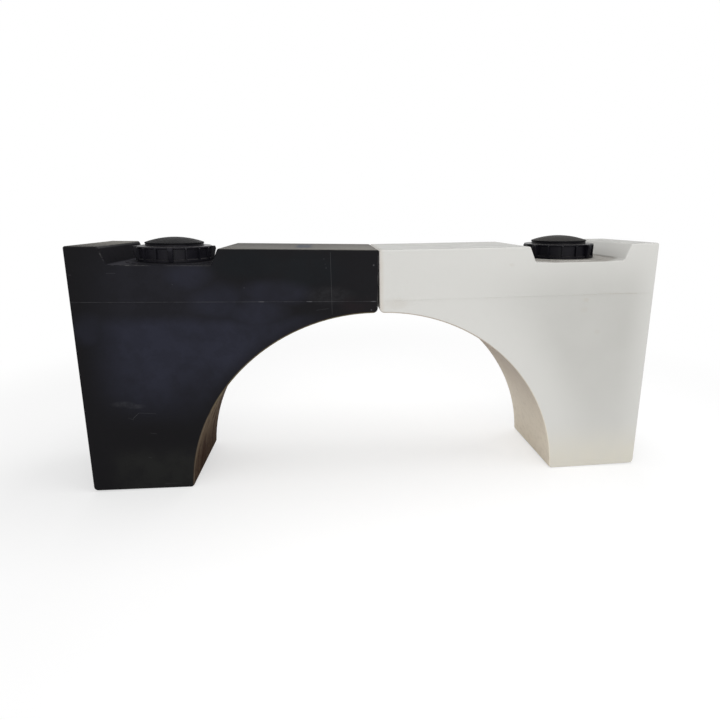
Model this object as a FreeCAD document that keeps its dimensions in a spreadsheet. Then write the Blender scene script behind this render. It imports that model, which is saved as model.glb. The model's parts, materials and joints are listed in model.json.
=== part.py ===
"""Water filled barrier: two rotationally moulded half-arch tanks, black and white, crown to crown.

Each half is a hollow polyethylene tank with a screwed filler lid in a notch of its top and a
screwed drain plug low in its outer end.  Both halves come from one mould: the black one is the
white one turned half a turn about the vertical.  A half is drawn in its own frame, with X from
the seam outwards, Y across and Z up from the sole of its foot.  The pieces of the lid are drawn
about the lid's axis, with Z = 0 on the rim of the neck, and those of the drain about the drain's
axis, with Z = 0 on the floor of the drain pocket and Z pointing out of the tank.

The whole barrier stands with its origin on the ground, under the middle of the seam.
"""
import FreeCAD, Part
import math
import os
import Sketcher
from FreeCAD import Placement, Rotation, Vector
from types import SimpleNamespace

SIZES = {
    # tank, outside
    "half_length": 702.0,
    "depth": 235.0,
    "tank_height": 600.0,           # at the crown
    "end_rise": 3.0,                # of the outer end's top above the crown's
    "arch_radius": 460.0,
    "arch_centre_drop": 12.0,       # centre of the arch below the sole
    "corner_radius": 10.0,          # foot corners
    "seam_bottom_radius": 12.0,
    "top_corner_radius": 5.0,       # upper corners at the seam and at the outer end
    "edge_radius": 3.5,             # all round the front and back faces
    # tank, inside
    "wall": 6.0,
    "inner_corner_radius": 8.0,
    # notch for the lid, measured from the outer end
    "notch_near": 73.0,
    "notch_far": 332.0,
    "notch_slope": 16.0,
    "notch_depth": 38.0,
    "notch_top_radius": 5.0,
    "notch_floor_radius": 5.0,
    # raised line where the mould's two halves met
    "parting_height": 477.0,
    "parting_width": 1.4,
    "parting_proud": 0.5,
    # neck of the tank
    "lid_from_end": 203.0,
    "boss_radius": 113.0,
    "boss_height": 1.5,
    "boss_edge_radius": 1.0,
    "neck_height": 31.0,            # above the notch floor
    "neck_bore_radius": 68.0,
    "neck_radius": 74.0,
    # lid thread, right-handed
    "lid_pitch": 8.0,
    "lid_thread_height": 4.0,
    "lid_thread_base": 5.2,
    "lid_thread_crest": 2.6,
    "lid_thread_start": 17.5,       # below the rim
    "neck_thread_turns": 1.6,
    "lid_thread_turns": 1.5,
    "lid_thread_gap": 0.8,          # between a ridge's crest and the wall facing it
    # lid
    "lid_radius": 83.5,             # between the ribs
    "lid_band_radius": 87.5,
    "lid_band_height": 5.0,
    "lid_flange_radius": 86.5,
    "lid_flange_height": 3.5,
    "lid_step": 1.8,                # height of the slopes at the band and the flange
    "lid_boss_gap": 1.0,            # from the boss up to the skirt
    "lid_edge_height": 6.5,         # top of the lid's edge above the rim
    "lid_foot_height": 7.5,         # foot of its raised plate above the rim
    "lid_top_height": 11.5,         # top of its plate above the rim
    "lid_plate_radius": 67.5,
    "lid_plate_edge": 0.8,
    "lid_plate": 4.5,
    "lid_edge_fillet": 1.5,
    "lip_radius": 66.5,
    "lip_wall": 3.0,
    "lip_depth": 4.0,               # of the lip below the rim
    "collar_radius": 54.0,
    "collar_wall": 3.0,
    "collar_height": 3.0,
    # ribs and grip lugs round the lid, drawn in the plane of the lid's axis
    "lug_angle": 10.5,              # of the first lug and rib round the lid, degrees
    "rib_count": 16,
    "rib_radius": 88.2,
    "rib_width": 3.5,
    "rib_drop": 2.5,                # from the lid's edge down to the rib's top
    "rib_nose": 1.5,
    "lug_count": 4,
    "lug_radius": 96.5,
    "lug_foot_radius": 90.0,
    "lug_width": 11.0,
    "lug_drop": 1.0,
    "lug_nose": 2.0,                # how far the lug's top slopes back
    "lug_nose_height": 6.0,
    "lug_edge_radius": 2.0,
    # gasket under the lid
    "gasket_radius": 77.0,
    "gasket_bore_gap": 0.5,
    "gasket_thickness": 3.0,
    # vent dome over the lid
    "dome_radius": 68.5,
    "dome_wall": 2.5,
    "dome_gap": 1.0,                # air gap under its edge
    "dome_edge": 2.5,
    "dome_rise": 12.5,
    "dome_edge_fillet": 1.0,
    "post_circle": 44.0,
    "post_radius": 5.0,
    "post_count": 4,
    # vent holes and insect screen
    "vent_circle": 28.0,
    "vent_radius": 7.0,
    "vent_count": 8,
    "screen_radius": 52.0,
    "screen_thickness": 0.8,
    "mesh_radius": 1.5,
    "mesh_pitch": 5.5,
    "mesh_rings": 3,
    "mesh_count": 24,
    # screws of the vent dome
    "screw_radius": 2.0,
    "screw_length": 12.0,
    "screw_hole_gap": 0.25,
    "screw_head_radius": 4.0,
    "screw_head_height": 2.6,
    "screw_slot_width": 1.2,
    "screw_slot_depth": 1.2,
    # drain, low in the outer end
    "drain_height": 56.0,
    "drain_pocket_radius": 37.0,
    "drain_pocket_depth": 16.0,
    "drain_pocket_edge": 3.0,
    "bush_radius": 24.0,
    "bush_depth": 16.0,
    "bush_flange_radius": 29.0,
    "bush_flange": 3.0,
    "drain_pitch": 5.0,
    "drain_thread_radius": 20.0,
    "drain_thread_height": 2.2,
    "drain_thread_base": 3.4,
    "drain_thread_crest": 1.4,
    "drain_thread_start": 13.5,     # inside the pocket floor
    "plug_thread_turns": 2.0,
    "bush_thread_turns": 2.2,
    "drain_thread_gap": 0.5,        # between the plug's ridge and the bush
    "bush_crest_gap": 0.6,          # between the bush's ridge and the plug
    "washer_radius": 26.0,
    "washer_bore_gap": 0.4,
    "washer_thickness": 2.5,
    "plug_length": 15.0,            # of its shank inside the pocket floor
    "plug_wall": 4.0,
    "plug_head_radius": 27.0,
    "plug_head": 6.0,
    "plug_head_fillet": 1.5,
    "grip_width": 9.0,
    "grip_length": 46.0,
    "grip_height": 3.5,
    # how the halves stand
    "lean": 0.8,                    # degrees that each half tips towards the other on its foot
    "seam_gap": 0.3,                # between the halves where they come nearest
    "black_lid_turn": 0.0,          # degrees that each lid is short of its thread's last turn
    "white_lid_turn": 15.0,
}
SIDES = {"black": 180.0, "white": 0.0}      # direction of each half's outer end, degrees
FULL_TURN = 360.0
OVERLAP = 1.0                               # how far joined features run into each other


class Size:
    """A number together with the sheet expression that it comes from."""

    def __init__(self, number, text):
        self.number = float(number)
        self.text = text

    def __add__(self, other):
        other = as_size(other)
        return Size(self.number + other.number, "(%s + %s)" % (self.text, other.text))

    def __sub__(self, other):
        other = as_size(other)
        return Size(self.number - other.number, "(%s - %s)" % (self.text, other.text))

    def __mul__(self, other):
        other = as_size(other)
        return Size(self.number * other.number, "(%s * %s)" % (self.text, other.text))

    def __truediv__(self, other):
        other = as_size(other)
        return Size(self.number / other.number, "(%s / %s)" % (self.text, other.text))

    def __neg__(self):
        return Size(-self.number, "(0 - %s)" % self.text)

    def root(self):
        return Size(math.sqrt(self.number), "sqrt(%s)" % self.text)


def as_size(value):
    return value if isinstance(value, Size) else Size(value, repr(float(value)))


def third_side(long_side, short_side):
    """The other short side of a right-angled triangle."""
    return (long_side * long_side - short_side * short_side).root()


def make_sheet(doc):
    """Write the driving dimensions into the document's sheet, one row each."""
    sheet = doc.addObject("Spreadsheet::Sheet", "sizes")
    for row, (name, value) in enumerate(SIZES.items(), start=1):
        sheet.set("A%d" % row, name)
        sheet.set("B%d" % row, str(value))
        sheet.setAlias("B%d" % row, name)
    doc.recompute()
    return SimpleNamespace(**{name: Size(sheet.get(name), "sizes." + name) for name in SIZES})


def bind(thing, **sizes):
    """Bind properties to sizes; a double underscore in a name stands for a dot."""
    for name, size in sizes.items():
        thing.setExpression(name.replace("__", "."), as_size(size).text)


def new_body(doc, name):
    body = doc.addObject("PartDesign::Body", name)
    body.AllowCompound = True
    return body


def new_sketch(body, name, plane, x=0.0, y=0.0, out=0.0, turn=0.0):
    """A sketch on one of the body's origin planes, moved by x and y in it and out of it.

    turn swings it about its own upright axis.
    """
    sketch = body.newObject("Sketcher::SketchObject", name)
    origin_plane = [item for item in body.Origin.OriginFeatures if item.Role == plane][0]
    sketch.AttachmentSupport = [(origin_plane, "")]
    sketch.MapMode = "FlatFace"
    swing = Rotation(Vector(0, 1, 0), as_size(turn).number)
    sketch.AttachmentOffset = Placement(Vector(0, 0, 0), swing)
    bind(sketch, AttachmentOffset__Base__x=x, AttachmentOffset__Base__y=y,
         AttachmentOffset__Base__z=out)
    if isinstance(turn, Size):
        bind(sketch, AttachmentOffset__Rotation__Angle=turn)
    return sketch


def dimension(sketch, constraint, size):
    sketch.setExpression("Constraints[%d]" % sketch.addConstraint(constraint), size.text)


def pin(sketch, geometry, point, x=None, y=None):
    """Hold a point of the sketch at x and y; a coordinate left out stays free."""
    if x is not None:
        dimension(sketch, Sketcher.Constraint("DistanceX", geometry, point, x.number), x)
    if y is not None:
        dimension(sketch, Sketcher.Constraint("DistanceY", geometry, point, y.number), y)


def arc_corner(corner, arc):
    """Fill in the coordinate that a corner leaves to the arc that ends there."""
    x, y = corner
    centre_x, centre_y, radius = arc[:3]
    if x is None:
        return centre_x + third_side(radius, y - centre_y), y
    return x, centre_y + third_side(radius, x - centre_x)


def draw_outline(sketch, corners, arcs=None):
    """Draw a closed outline through corners, each an (x, y) pair.

    arcs maps the number of a corner to the (centre x, centre y, radius, way) of the arc from it
    to the next corner, where way is 1 for anticlockwise and -1 for clockwise.  A corner at
    either end of an arc gives None for the coordinate that the arc decides.
    """
    arcs = arcs or {}
    count = len(corners)
    pinned = [tuple(None if c is None else as_size(c) for c in corner) for corner in corners]
    arcs = {i: tuple(as_size(v) for v in arc[:3]) + (arc[3],) for i, arc in arcs.items()}
    placed = list(pinned)
    for i, arc in arcs.items():
        for corner in (i, (i + 1) % count):
            placed[corner] = arc_corner(pinned[corner], arc)
    places = [Vector(x.number, y.number, 0) for x, y in placed]
    starts = []
    ends = []
    for i in range(count):
        start, end = places[i], places[(i + 1) % count]
        if i not in arcs:
            sketch.addGeometry(Part.LineSegment(start, end), False)
            starts.append(1)
            ends.append(2)
            continue
        centre_x, centre_y, radius, way = arcs[i]
        centre = Vector(centre_x.number, centre_y.number, 0)
        first, last = (start, end) if way > 0 else (end, start)
        angles = [math.atan2((p - centre).y, (p - centre).x) for p in (first, last)]
        circle = Part.Circle(centre, Vector(0, 0, 1), radius.number)
        sketch.addGeometry(Part.ArcOfCircle(circle, *angles), False)
        starts.append(1 if way > 0 else 2)
        ends.append(2 if way > 0 else 1)
    for i in range(count):
        after = (i + 1) % count
        sketch.addConstraint(Sketcher.Constraint("Coincident", i, ends[i], after, starts[after]))
    for i in range(count):
        pin(sketch, i, starts[i], *pinned[i])
    for i, (centre_x, centre_y, radius, way) in arcs.items():
        pin(sketch, i, 3, centre_x, centre_y)
        dimension(sketch, Sketcher.Constraint("Radius", i, radius.number), radius)


def draw_circle(sketch, radius, x=0.0, y=0.0):
    radius, x, y = as_size(radius), as_size(x), as_size(y)
    centre = Vector(x.number, y.number, 0)
    index = sketch.addGeometry(Part.Circle(centre, Vector(0, 0, 1), radius.number), False)
    pin(sketch, index, 3, x, y)
    dimension(sketch, Sketcher.Constraint("Radius", index, radius.number), radius)


def pad(body, name, sketch, length, both_ways=False):
    feature = body.newObject("PartDesign::Pad", name)
    feature.Profile = sketch
    bind(feature, Length=length)
    if both_ways:
        feature.SideType = "Symmetric"
    return feature


def pocket(body, name, sketch, depth, upwards=False):
    """Cut the sketch down from its plane by depth, or up from it."""
    feature = body.newObject("PartDesign::Pocket", name)
    feature.Profile = sketch
    feature.Reversed = upwards
    bind(feature, Length=depth)
    return feature


def revolve(body, name, sketch):
    feature = body.newObject("PartDesign::Revolution", name)
    feature.Profile = sketch
    feature.ReferenceAxis = (sketch, ["V_Axis"])
    feature.Angle = FULL_TURN
    return feature


def ring_of(body, name, features, count):
    """Repeat features evenly round the body's Z axis, on the solid as it stands."""
    pattern = body.newObject("PartDesign::PolarPattern", name)
    pattern.Originals = features
    axis = [item for item in body.Origin.OriginFeatures if item.Role == "Z_Axis"][0]
    pattern.Axis = (axis, [""])
    pattern.Angle = FULL_TURN
    bind(pattern, Occurrences=count)
    body.Tip = pattern
    return pattern


def round_edges(body, name, radius, test):
    """Fillet the edges of the body's last feature that pass the test."""
    body.Document.recompute()
    base = body.Tip
    picked = ["Edge%d" % (i + 1) for i, edge in enumerate(base.Shape.Edges) if test(edge)]
    feature = body.newObject("PartDesign::Fillet", name)
    feature.Base = (base, picked)
    bind(feature, Radius=radius)
    return feature


def near(a, b, tolerance=0.01):
    return abs(a - b) < tolerance


def along_y_at(x, z):
    """Test for the edge that runs straight across the half through the point x, z."""
    def test(edge):
        ends = [vertex.Point for vertex in edge.Vertexes]
        return len(ends) == 2 and all(near(p.x, x.number) and near(p.z, z.number) for p in ends)
    return test


def is_round(edge):
    return not edge.Degenerated and isinstance(edge.Curve, Part.Circle)


def circle_at(z, radius):
    """Test for a circle, or a part of one, level at height z."""
    def test(edge):
        if not is_round(edge):
            return False
        centre = edge.Curve.Center
        return near(centre.z, z.number) and near(edge.Curve.Radius, radius.number)
    return test


def add_thread(body, name, sketch_x, sketch_z, wall, crest, height, start_side, base, top,
               pitch, turns):
    """Add a helical ridge from radius wall to radius crest, starting on the +X or -X side.

    The ridge's middle starts at height; base and top are its widths at the wall and crest.
    """
    sketch = new_sketch(body, name + "_section", "XZ_Plane", sketch_x, sketch_z)
    inside = wall + (OVERLAP if wall.number > crest.number else -OVERLAP)
    draw_outline(sketch, [
        (inside * start_side, height - base / 2),
        (wall * start_side, height - base / 2),
        (crest * start_side, height - top / 2),
        (crest * start_side, height + top / 2),
        (wall * start_side, height + base / 2),
        (inside * start_side, height + base / 2)])
    helix = body.newObject("PartDesign::AdditiveHelix", name)
    helix.Profile = sketch
    helix.ReferenceAxis = (sketch, ["V_Axis"])
    helix.Mode = "pitch-turns-angle"
    bind(helix, Pitch=pitch, Turns=turns)
    return helix


def derive(s):
    """Add the sizes that follow from the driving ones."""
    s.foot_inner = third_side(s.arch_radius, s.arch_centre_drop)
    s.lid_x = s.half_length - s.lid_from_end
    s.end_top = s.tank_height + s.end_rise
    s.notch_floor = s.tank_height - s.notch_depth
    s.rim_height = s.notch_floor + s.neck_height
    s.neck_thread_radius = s.neck_radius + s.lid_thread_height
    s.lid_bore_radius = s.neck_thread_radius + s.lid_thread_gap
    s.lid_crest_radius = s.neck_radius + s.lid_thread_gap
    s.skirt_bottom = s.boss_height + s.lid_boss_gap - s.neck_height
    s.plate_underside = s.lid_top_height - s.lid_plate
    s.dome_bottom = s.lid_top_height + s.dome_gap
    s.dome_shoulder = s.dome_bottom + s.dome_edge
    s.dome_top = s.dome_shoulder + s.dome_rise
    s.crown_radius = (s.dome_radius * s.dome_radius + s.dome_rise * s.dome_rise) / (s.dome_rise * 2)
    s.crown_centre = s.dome_top - s.crown_radius
    s.screw_seat = s.plate_underside - s.screen_thickness
    s.bush_bore_radius = s.drain_thread_radius + s.drain_thread_gap
    s.plug_radius = s.drain_thread_radius - s.drain_thread_height
    s.bush_crest_radius = s.plug_radius + s.bush_crest_gap
    s.head_bottom = s.bush_flange + s.washer_thickness
    s.head_top = s.head_bottom + s.plug_head
    return s


def draw_half(sketch, s, inset):
    """Draw the side view of a half, taken in by inset on every side."""
    slope = s.notch_slope / s.notch_depth
    # a sloping notch wall that moves inwards by inset moves sideways by this much
    sideways = inset * (slope * slope + 1).root()
    seam = inset
    end = s.half_length - inset
    top = s.tank_height - inset
    end_top = s.end_top - inset
    sole = inset
    floor = s.notch_floor - inset
    far = s.half_length - s.notch_far - sideways
    near_end = s.half_length - s.notch_near + sideways
    draw_outline(sketch, [
        (seam, top),
        (far + slope * inset, top),
        (far + slope * (s.notch_depth + inset), floor),
        (near_end - slope * (s.notch_depth + inset), floor),
        (near_end + slope * (s.end_rise - inset), end_top),
        (end, end_top),
        (end, sole),
        (None, sole),
        (seam, None)],
        arcs={7: (as_size(0), -s.arch_centre_drop, s.arch_radius + inset, 1)})


def make_tank_form(doc, s, name):
    """The outside of a half: the moulded block with its notch, neck and drain pocket."""
    body = new_body(doc, name)
    side = new_sketch(body, "side", "XZ_Plane")
    draw_half(side, s, as_size(0))
    pad(body, "block", side, s.depth, both_ways=True)
    zero = as_size(0)
    top_corners = [(zero, s.tank_height), (s.half_length, s.end_top)]
    end_run = s.notch_slope / s.notch_depth * s.end_rise
    notch_top = [(s.half_length - s.notch_far, s.tank_height),
                 (s.half_length - s.notch_near + end_run, s.end_top)]
    notch_floor = [(s.half_length - s.notch_far + s.notch_slope, s.notch_floor),
                   (s.half_length - s.notch_near - s.notch_slope, s.notch_floor)]
    foot = [(s.half_length, zero), (s.foot_inner, zero)]
    seam_bottom = [(zero, s.arch_radius - s.arch_centre_drop)]
    rounds = (("top_corners", s.top_corner_radius, top_corners),
              ("notch_top", s.notch_top_radius, notch_top),
              ("notch_floor", s.notch_floor_radius, notch_floor),
              ("foot_corners", s.corner_radius, foot),
              ("seam_bottom", s.seam_bottom_radius, seam_bottom))
    for round_name, radius, places in rounds:
        tests = [along_y_at(x, z) for x, z in places]
        round_edges(body, round_name, radius, lambda edge: any(test(edge) for test in tests))
    half_depth = s.depth.number / 2
    round_edges(body, "face_edges", s.edge_radius,
                lambda edge: all(near(abs(v.Point.y), half_depth) for v in edge.Vertexes)
                and near(abs(edge.CenterOfMass.y), half_depth))

    line = new_sketch(body, "parting_line_section", "XZ_Plane", y=s.parting_height)
    clear = s.seam_bottom_radius
    half_width = s.parting_width / 2
    draw_outline(line, [(clear, -half_width), (s.half_length - clear, -half_width),
                        (s.half_length - clear, half_width), (clear, half_width)])
    pad(body, "parting_line", line, s.depth + s.parting_proud * 2, both_ways=True)

    boss = new_sketch(body, "boss_circle", "XY_Plane", x=s.lid_x, out=s.notch_floor - s.wall / 2)
    draw_circle(boss, s.boss_radius)
    pad(body, "boss", boss, s.boss_height + s.wall / 2)
    boss_top = s.notch_floor + s.boss_height
    round_edges(body, "boss_edge", s.boss_edge_radius, circle_at(boss_top, s.boss_radius))
    neck = new_sketch(body, "neck_circle", "XY_Plane", x=s.lid_x, out=s.notch_floor)
    draw_circle(neck, s.neck_radius)
    pad(body, "neck", neck, s.neck_height)
    add_thread(body, "neck_thread", s.lid_x, s.rim_height, s.neck_radius, s.neck_thread_radius,
               -s.lid_thread_start, 1, s.lid_thread_base, s.lid_thread_crest, s.lid_pitch,
               s.neck_thread_turns)

    mouth = new_sketch(body, "drain_pocket_circle", "YZ_Plane", y=s.drain_height,
                       out=s.half_length)
    draw_circle(mouth, s.drain_pocket_radius)
    pocket(body, "drain_pocket", mouth, s.drain_pocket_depth)
    round_edges(body, "drain_pocket_edge", s.drain_pocket_edge,
                lambda edge: is_round(edge)
                and near(edge.Curve.Center.x, s.half_length.number)
                and near(edge.Curve.Radius, s.drain_pocket_radius.number))
    return body


def make_tank_hollow(doc, s, name):
    """The water space, with the way in through the neck and the way out at the drain."""
    body = new_body(doc, name)
    side = new_sketch(body, "side", "XZ_Plane")
    draw_half(side, s, s.wall)
    pad(body, "block", side, s.depth - s.wall * 2, both_ways=True)
    low = [(s.half_length - s.wall, s.wall),
           (third_side(s.arch_radius + s.wall, s.arch_centre_drop + s.wall), s.wall)]
    high = [(s.wall, s.tank_height - s.wall), (s.half_length - s.wall, s.end_top - s.wall)]
    tests = [along_y_at(x, z) for x, z in low + high]
    round_edges(body, "corners", s.inner_corner_radius,
                lambda edge: any(test(edge) for test in tests))

    bore = new_sketch(body, "neck_bore_circle", "XY_Plane", x=s.lid_x,
                      out=s.notch_floor - s.wall - OVERLAP)
    draw_circle(bore, s.neck_bore_radius)
    pad(body, "neck_bore", bore, s.neck_height + s.wall + OVERLAP * 2)

    hood = new_sketch(body, "drain_hood_circle", "YZ_Plane", y=s.drain_height,
                      out=s.half_length - s.wall)
    draw_circle(hood, s.drain_pocket_radius + s.wall)
    pocket(body, "drain_hood", hood, s.drain_pocket_depth)
    outlet = new_sketch(body, "drain_hole_circle", "YZ_Plane", y=s.drain_height,
                        out=s.half_length - s.drain_pocket_depth - s.wall - OVERLAP)
    draw_circle(outlet, s.bush_radius)
    pad(body, "drain_hole", outlet, s.wall + OVERLAP * 2)
    return body


def make_tank(doc, s, colour):
    tank = doc.addObject("Part::Cut", colour + "_tank")
    tank.Base = make_tank_form(doc, s, colour + "_tank_form")
    tank.Tool = make_tank_hollow(doc, s, colour + "_tank_hollow")
    return tank


def add_ribs(body, s):
    """The thin grip ribs round the lid, from its lower edge to just under its top."""
    rib = new_sketch(body, "rib_outline", "XZ_Plane", turn=s.lug_angle)
    root = s.lid_radius - OVERLAP
    top = s.lid_edge_height - s.rib_drop
    draw_outline(rib, [
        (root, s.skirt_bottom),
        (s.rib_radius, s.skirt_bottom),
        (s.rib_radius, top - s.rib_nose),
        (s.rib_radius - s.rib_nose, top),
        (root, top)])
    first_rib = pad(body, "rib", rib, s.rib_width, both_ways=True)
    ring_of(body, "ribs", [first_rib], s.rib_count)


def add_lugs(body, s):
    """The broad lugs that a hand or a bar turns the lid by, widest just under their top."""
    lug = new_sketch(body, "lug_outline", "XZ_Plane", turn=s.lug_angle)
    root = s.lid_radius - OVERLAP
    top = s.lid_edge_height - s.lug_drop
    draw_outline(lug, [
        (root, s.skirt_bottom),
        (s.lug_foot_radius, s.skirt_bottom),
        (s.lug_radius, top - s.lug_nose_height),
        (s.lug_radius - s.lug_nose, top),
        (root, top)])
    first_lug = pad(body, "lug", lug, s.lug_width, both_ways=True)
    ring_of(body, "lugs", [first_lug], s.lug_count)

    def outer_corner(edge):
        ends = [vertex.Point for vertex in edge.Vertexes]
        upright = len(ends) == 2 and abs(ends[0].z - ends[1].z) > s.lug_nose_height.number / 2
        return upright and all(math.hypot(p.x, p.y) > s.rib_radius.number + OVERLAP for p in ends)

    round_edges(body, "lug_edges", s.lug_edge_radius, outer_corner)


def make_lid(doc, s, colour):
    """The screwed lid: plate, skirt with its inner thread, ribs, grip lugs and vent holes."""
    body = new_body(doc, colour + "_lid")
    gasket_top = s.gasket_thickness
    band_top = s.skirt_bottom + s.lid_band_height
    flange_bottom = s.lid_edge_height - s.lid_flange_height
    lip_bore = s.lip_radius - s.lip_wall
    collar_top = s.lid_top_height + s.collar_height
    section = new_sketch(body, "section", "XZ_Plane")
    draw_outline(section, [
        (0, s.plate_underside),
        (lip_bore, s.plate_underside),
        (lip_bore, -s.lip_depth),
        (s.lip_radius, -s.lip_depth),
        (s.lip_radius, gasket_top),
        (s.lid_bore_radius, gasket_top),
        (s.lid_bore_radius, s.skirt_bottom),
        (s.lid_band_radius, s.skirt_bottom),
        (s.lid_band_radius, band_top),
        (s.lid_radius, band_top + s.lid_step),
        (s.lid_radius, flange_bottom - s.lid_step),
        (s.lid_flange_radius, flange_bottom),
        (s.lid_flange_radius, s.lid_edge_height),
        (s.lid_plate_radius, s.lid_foot_height),
        (s.lid_plate_radius, s.lid_top_height),
        (s.collar_radius, s.lid_top_height),
        (s.collar_radius, collar_top),
        (s.collar_radius - s.collar_wall, collar_top),
        (s.collar_radius - s.collar_wall, s.lid_top_height),
        (0, s.lid_top_height)])
    revolve(body, "turned", section)
    round_edges(body, "edge", s.lid_edge_fillet,
                circle_at(s.lid_edge_height, s.lid_flange_radius))
    round_edges(body, "plate_edge", s.lid_plate_edge,
                circle_at(s.lid_top_height, s.lid_plate_radius))
    add_ribs(body, s)
    add_lugs(body, s)

    hole = new_sketch(body, "vent_circles", "XY_Plane", out=s.lid_top_height)
    draw_circle(hole, s.vent_radius, x=s.vent_circle)
    vent = pocket(body, "vent", hole, s.lid_plate)
    ring_of(body, "vents", [vent], s.vent_count)
    hole = new_sketch(body, "screw_hole_circle", "XY_Plane", out=s.lid_top_height)
    draw_circle(hole, s.screw_radius + s.screw_hole_gap, x=s.post_circle)
    screw_hole = pocket(body, "screw_hole", hole, s.lid_plate)
    ring_of(body, "screw_holes", [screw_hole], s.post_count)
    add_thread(body, "thread", 0.0, 0.0, s.lid_bore_radius, s.lid_crest_radius,
               -s.lid_thread_start, -1, s.lid_thread_base, s.lid_thread_crest, s.lid_pitch,
               s.lid_thread_turns)
    return body


def make_gasket(doc, s, colour, rise):
    body = new_body(doc, colour + "_lid_gasket")
    ring = new_sketch(body, "ring", "XY_Plane")
    draw_circle(ring, s.gasket_radius)
    draw_circle(ring, s.lip_radius + s.gasket_bore_gap)
    pad(body, "disc", ring, s.gasket_thickness + rise)
    return body


def make_dome(doc, s, colour):
    """The vent dome: a shallow cap on posts, open to the air all round under its edge."""
    body = new_body(doc, colour + "_vent_dome")
    section = new_sketch(body, "section", "XZ_Plane")
    inner = s.dome_radius - s.dome_wall
    draw_outline(section, [
        (s.dome_radius, s.dome_bottom),
        (s.dome_radius, None),
        (0, None),
        (0, None),
        (inner, None),
        (inner, s.dome_bottom)],
        arcs={1: (as_size(0), s.crown_centre, s.crown_radius, 1),
              3: (as_size(0), s.crown_centre, s.crown_radius - s.dome_wall, -1)})
    revolve(body, "cap", section)
    round_edges(body, "edge", s.dome_edge_fillet, circle_at(s.dome_shoulder, s.dome_radius))
    posts = new_sketch(body, "post_circle", "XY_Plane", out=s.lid_top_height)
    draw_circle(posts, s.post_radius, x=s.post_circle)
    shell_middle = s.crown_centre + third_side(s.crown_radius - s.dome_wall / 2,
                                               s.post_circle + s.post_radius)
    post = pad(body, "post", posts, shell_middle - s.lid_top_height)
    ring_of(body, "posts", [post], s.post_count)
    holes = new_sketch(body, "pilot_circle", "XY_Plane", out=s.lid_top_height)
    draw_circle(holes, s.screw_radius, x=s.post_circle)
    grip = s.screw_length - s.screen_thickness - s.lid_plate
    hole = pocket(body, "pilot", holes, grip, upwards=True)
    ring_of(body, "pilots", [hole], s.post_count)
    return body


def make_screen(doc, s, colour):
    """The insect screen: a perforated disc held under the vent holes."""
    body = new_body(doc, colour + "_vent_screen")
    disc = new_sketch(body, "disc_circle", "XY_Plane", out=s.screw_seat)
    draw_circle(disc, s.screen_radius)
    pad(body, "disc", disc, s.screen_thickness)
    hole = new_sketch(body, "screw_hole_circle", "XY_Plane", out=s.plate_underside)
    draw_circle(hole, s.screw_radius + s.screw_hole_gap, x=s.post_circle)
    screw_hole = pocket(body, "screw_hole", hole, s.screen_thickness)
    ring_of(body, "screw_holes", [screw_hole], s.post_count)
    mesh = new_sketch(body, "mesh_circles", "XY_Plane", out=s.plate_underside)
    rings = int(s.mesh_rings.number)
    for ring in range(rings):
        draw_circle(mesh, s.mesh_radius, x=s.vent_circle + s.mesh_pitch * (ring - (rings - 1) / 2))
    opening = pocket(body, "mesh_row", mesh, s.screen_thickness)
    ring_of(body, "mesh", [opening], s.mesh_count)
    return body


def make_screws(doc, s, colour):
    """The screws that hold the vent dome and the screen from below, as separate solids."""
    body = new_body(doc, colour + "_vent_screws")
    section = new_sketch(body, "section", "XZ_Plane", x=s.post_circle)
    head_bottom = s.screw_seat - s.screw_head_height
    tip = s.screw_seat + s.screw_length
    draw_outline(section, [
        (0, head_bottom),
        (s.screw_head_radius, head_bottom),
        (s.screw_head_radius, s.screw_seat),
        (s.screw_radius, s.screw_seat),
        (s.screw_radius, tip - s.screw_radius / 2),
        (s.screw_radius / 2, tip),
        (0, tip)])
    screw = revolve(body, "screw", section)
    slot = new_sketch(body, "slot_outline", "XY_Plane", x=s.post_circle, out=head_bottom)
    reach = s.screw_head_radius + OVERLAP
    draw_outline(slot, [(-reach, -s.screw_slot_width / 2), (reach, -s.screw_slot_width / 2),
                        (reach, s.screw_slot_width / 2), (-reach, s.screw_slot_width / 2)])
    cut = pocket(body, "slot", slot, s.screw_slot_depth, upwards=True)
    ring_of(body, "screws", [screw, cut], s.post_count)
    return body


def make_bush(doc, s, colour):
    """The threaded bush moulded into the drain hole."""
    body = new_body(doc, colour + "_drain_bush")
    section = new_sketch(body, "section", "XZ_Plane")
    draw_outline(section, [
        (s.bush_bore_radius, -s.bush_depth),
        (s.bush_radius, -s.bush_depth),
        (s.bush_radius, 0),
        (s.bush_flange_radius, 0),
        (s.bush_flange_radius, s.bush_flange),
        (s.bush_bore_radius, s.bush_flange)])
    revolve(body, "turned", section)
    add_thread(body, "thread", 0.0, 0.0, s.bush_bore_radius, s.bush_crest_radius,
               -s.drain_thread_start, -1, s.drain_thread_base, s.drain_thread_crest,
               s.drain_pitch, s.bush_thread_turns)
    return body


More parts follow.
